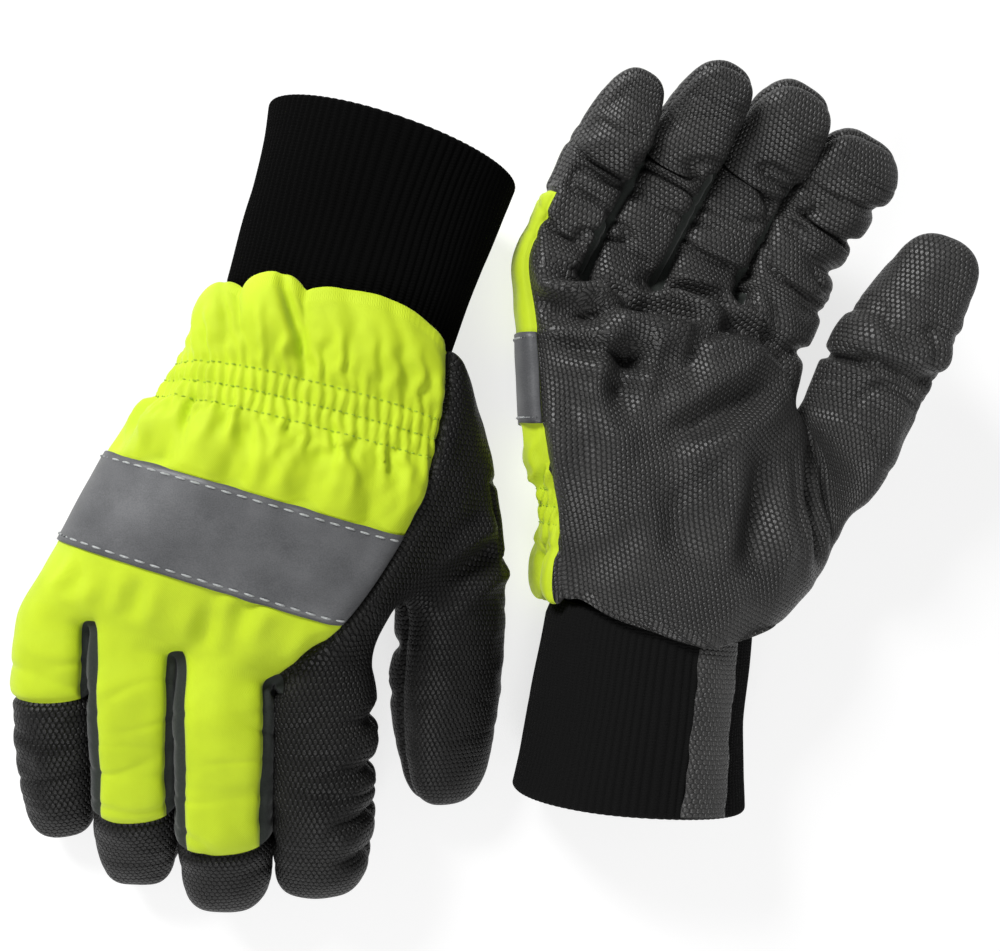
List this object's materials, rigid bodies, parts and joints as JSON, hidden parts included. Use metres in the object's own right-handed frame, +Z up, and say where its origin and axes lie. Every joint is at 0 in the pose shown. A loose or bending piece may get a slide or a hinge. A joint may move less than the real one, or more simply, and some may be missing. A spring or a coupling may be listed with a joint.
{
  "type": "work gloves",
  "caption": "Insulated high-visibility work gloves with a bright gathered back, reflective band, textured grip palm, and rib-knit wrists; fingers, thumbs and wrists bend",
  "frame": {"origin": "On the ground, under the middle of the pair's bounding box", "axes": "+Z up from the ground; +X from the palm-down glove to the palm-up glove; +Y from the palm-down glove's fingertips to its wrist"},
  "size_m": [0.3327, 0.2896, 0.0692],
  "materials": {
    "bright_fabric": "matte fluorescent yellow-green plain weave",
    "textured_palm": "black synthetic leather embossed with small scales",
    "reflective_tape": "grey reflective tape, slightly mottled",
    "rib_knit": "black rib knit",
    "lining": "brushed fleece",
    "elastic": "woven elastic braid"
  },
  "bodies": {
    "glove1_hand": {"glove1_back_panel": "bright_fabric", "glove1_side_panel": "textured_palm", "glove1_palm_panel": "textured_palm", "glove1_reflective_tape": "reflective_tape", "glove1_wrist_elastic": "elastic", "glove1_hand_lining": "lining"},
    "glove1_cuff": {"glove1_knit_cuff": "rib_knit", "glove1_cuff_strip": "textured_palm"},
    "glove1_little_lower": {"glove1_little_lower_back": "bright_fabric", "glove1_little_lower_front": "textured_palm"},
    "glove1_little_upper": {"glove1_little_upper_back": "textured_palm", "glove1_little_upper_front": "textured_palm"},
    "glove1_ring_lower": {"glove1_ring_lower_back": "bright_fabric", "glove1_ring_lower_front": "textured_palm"},
    "glove1_ring_upper": {"glove1_ring_upper_back": "textured_palm", "glove1_ring_upper_front": "textured_palm"},
    "glove1_middle_lower": {"glove1_middle_lower_back": "bright_fabric", "glove1_middle_lower_front": "textured_palm"},
    "glove1_middle_upper": {"glove1_middle_upper_back": "textured_palm", "glove1_middle_upper_front": "textured_palm"},
    "glove1_index_lower": {"glove1_index_lower_back": "textured_palm", "glove1_index_lower_front": "textured_palm"},
    "glove1_index_upper": {"glove1_index_upper_back": "textured_palm", "glove1_index_upper_front": "textured_palm"},
    "glove1_thumb_lower": {"glove1_thumb_lower_back": "textured_palm", "glove1_thumb_lower_front": "textured_palm"},
    "glove1_thumb_upper": {"glove1_thumb_upper_back": "textured_palm", "glove1_thumb_upper_front": "textured_palm"},
    "glove2_hand": {"glove2_back_panel": "bright_fabric", "glove2_side_panel": "textured_palm", "glove2_palm_panel": "textured_palm", "glove2_reflective_tape": "reflective_tape", "glove2_wrist_elastic": "elastic", "glove2_hand_lining": "lining"},
    "glove2_cuff": {"glove2_knit_cuff": "rib_knit", "glove2_cuff_strip": "textured_palm"},
    "glove2_little_lower": {"glove2_little_lower_back": "bright_fabric", "glove2_little_lower_front": "textured_palm"},
    "glove2_little_upper": {"glove2_little_upper_back": "textured_palm", "glove2_little_upper_front": "textured_palm"},
    "glove2_ring_lower": {"glove2_ring_lower_back": "bright_fabric", "glove2_ring_lower_front": "textured_palm"},
    "glove2_ring_upper": {"glove2_ring_upper_back": "textured_palm", "glove2_ring_upper_front": "textured_palm"},
    "glove2_middle_lower": {"glove2_middle_lower_back": "bright_fabric", "glove2_middle_lower_front": "textured_palm"},
    "glove2_middle_upper": {"glove2_middle_upper_back": "textured_palm", "glove2_middle_upper_front": "textured_palm"},
    "glove2_index_lower": {"glove2_index_lower_back": "textured_palm", "glove2_index_lower_front": "textured_palm"},
    "glove2_index_upper": {"glove2_index_upper_back": "textured_palm", "glove2_index_upper_front": "textured_palm"},
    "glove2_thumb_lower": {"glove2_thumb_lower_back": "textured_palm", "glove2_thumb_lower_front": "textured_palm"},
    "glove2_thumb_upper": {"glove2_thumb_upper_back": "textured_palm", "glove2_thumb_upper_front": "textured_palm"}
  },
  "joints": [
    {"name": "glove1_wrist_hinge", "type": "hinge", "parent": "glove1_hand", "child": "glove1_cuff", "pos_m": [-0.0628, 0.0579, 0.02801], "axis": [-0.9516, 0.2859, -0.1125], "range_deg": [-14, 14]},
    {"name": "glove2_wrist_hinge", "type": "hinge", "parent": "glove2_hand", "child": "glove2_cuff", "pos_m": [0.0507, -0.0551, 0.0271], "axis": [-0.9903, 0.1392, 0], "range_deg": [-14, 14]},
    {"name": "glove1_little_knuckle", "type": "hinge", "parent": "glove1_hand", "child": "glove1_little_lower", "pos_m": [-0.155, -0.05304, 0.02284], "axis": [0.995, -0.0113, 0.0995], "range_deg": [-18, 40]},
    {"name": "glove1_little_middle", "type": "hinge", "parent": "glove1_little_lower", "child": "glove1_little_upper", "pos_m": [-0.155, -0.08483, 0.01925], "axis": [0.995, -0.0113, 0.0995], "range_deg": [-20, 38]},
    {"name": "glove1_ring_knuckle", "type": "hinge", "parent": "glove1_hand", "child": "glove1_ring_lower", "pos_m": [-0.13024, -0.06311, 0.02895], "axis": [0.995, -0.0113, 0.0995], "range_deg": [-18, 40]},
    {"name": "glove1_ring_middle", "type": "hinge", "parent": "glove1_ring_lower", "child": "glove1_ring_upper", "pos_m": [-0.13025, -0.09889, 0.02491], "axis": [0.995, -0.0113, 0.0995], "range_deg": [-22, 36]},
    {"name": "glove1_middle_knuckle", "type": "hinge", "parent": "glove1_hand", "child": "glove1_middle_lower", "pos_m": [-0.10182, -0.07385, 0.03345], "axis": [0.995, -0.0113, 0.0995], "range_deg": [-17, 41]},
    {"name": "glove1_middle_middle", "type": "hinge", "parent": "glove1_middle_lower", "child": "glove1_middle_upper", "pos_m": [-0.10189, -0.11019, 0.02999], "axis": [0.995, -0.0113, 0.0995], "range_deg": [-22, 36]},
    {"name": "glove1_index_knuckle", "type": "hinge", "parent": "glove1_hand", "child": "glove1_index_lower", "pos_m": [-0.07018, -0.07433, 0.03461], "axis": [0.995, -0.0113, 0.0995], "range_deg": [-16, 42]},
    {"name": "glove1_index_middle", "type": "hinge", "parent": "glove1_index_lower", "child": "glove1_index_upper", "pos_m": [-0.0703, -0.10773, 0.03201], "axis": [0.995, -0.0113, 0.0995], "range_deg": [-18, 40]},
    {"name": "glove1_thumb_knuckle", "type": "hinge", "parent": "glove1_hand", "child": "glove1_thumb_lower", "pos_m": [-0.02362, -0.04104, 0.02706], "axis": [-0.9075, -0.319, 0.2732], "range_deg": [-26, 10]},
    {"name": "glove1_thumb_middle", "type": "hinge", "parent": "glove1_thumb_lower", "child": "glove1_thumb_upper", "pos_m": [-0.02399, -0.0772, 0.01922], "axis": [-0.9379, -0.0643, 0.3409], "range_deg": [-38, 6]},
    {"name": "glove2_little_knuckle", "type": "hinge", "parent": "glove2_hand", "child": "glove2_little_lower", "pos_m": [0.01312, 0.08423, 0.0301], "axis": [0.9135, -0.4067, 0], "range_deg": [-22, 36]},
    {"name": "glove2_little_middle", "type": "hinge", "parent": "glove2_little_lower", "child": "glove2_little_upper", "pos_m": [0.02575, 0.1126, 0.03784], "axis": [0.9135, -0.4067, 0], "range_deg": [-30, 28]},
    {"name": "glove2_ring_knuckle", "type": "hinge", "parent": "glove2_hand", "child": "glove2_ring_lower", "pos_m": [0.04035, 0.08306, 0.0271], "axis": [0.9135, -0.4067, 0], "range_deg": [-24, 34]},
    {"name": "glove2_ring_middle", "type": "hinge", "parent": "glove2_ring_lower", "child": "glove2_ring_upper", "pos_m": [0.05442, 0.11467, 0.03702], "axis": [0.9135, -0.4067, 0], "range_deg": [-34, 24]},
    {"name": "glove2_middle_knuckle", "type": "hinge", "parent": "glove2_hand", "child": "glove2_middle_lower", "pos_m": [0.07097, 0.08091, 0.0261], "axis": [0.9135, -0.4067, 0], "range_deg": [-25, 33]},
    {"name": "glove2_middle_middle", "type": "hinge", "parent": "glove2_middle_lower", "child": "glove2_middle_upper", "pos_m": [0.08517, 0.1128, 0.03677], "axis": [0.9135, -0.4067, 0], "range_deg": [-36, 22]},
    {"name": "glove2_index_knuckle", "type": "hinge", "parent": "glove2_hand", "child": "glove2_index_lower", "pos_m": [0.09984, 0.06806, 0.0281], "axis": [0.9135, -0.4067, 0], "range_deg": [-23, 35]},
    {"name": "glove2_index_middle", "type": "hinge", "parent": "glove2_index_lower", "child": "glove2_index_upper", "pos_m": [0.113, 0.09762, 0.03677], "axis": [0.9135, -0.4067, 0], "range_deg": [-32, 26]},
    {"name": "glove2_thumb_knuckle", "type": "hinge", "parent": "glove2_hand", "child": "glove2_thumb_lower", "pos_m": [0.1271, 0.01816, 0.0381], "axis": [-0.6541, 0.6753, -0.3409], "range_deg": [-26, 10]},
    {"name": "glove2_thumb_middle", "type": "hinge", "parent": "glove2_thumb_lower", "child": "glove2_thumb_upper", "pos_m": [0.14091, 0.05099, 0.04812], "axis": [-0.7796, 0.4581, -0.4271], "range_deg": [-38, 6]},
    {"name": "glove2_lift", "type": "slide", "parent": "glove1_hand", "child": "glove2_hand", "axis": [0, 0, 1], "range_m": [0, 0.15]}
  ]
}
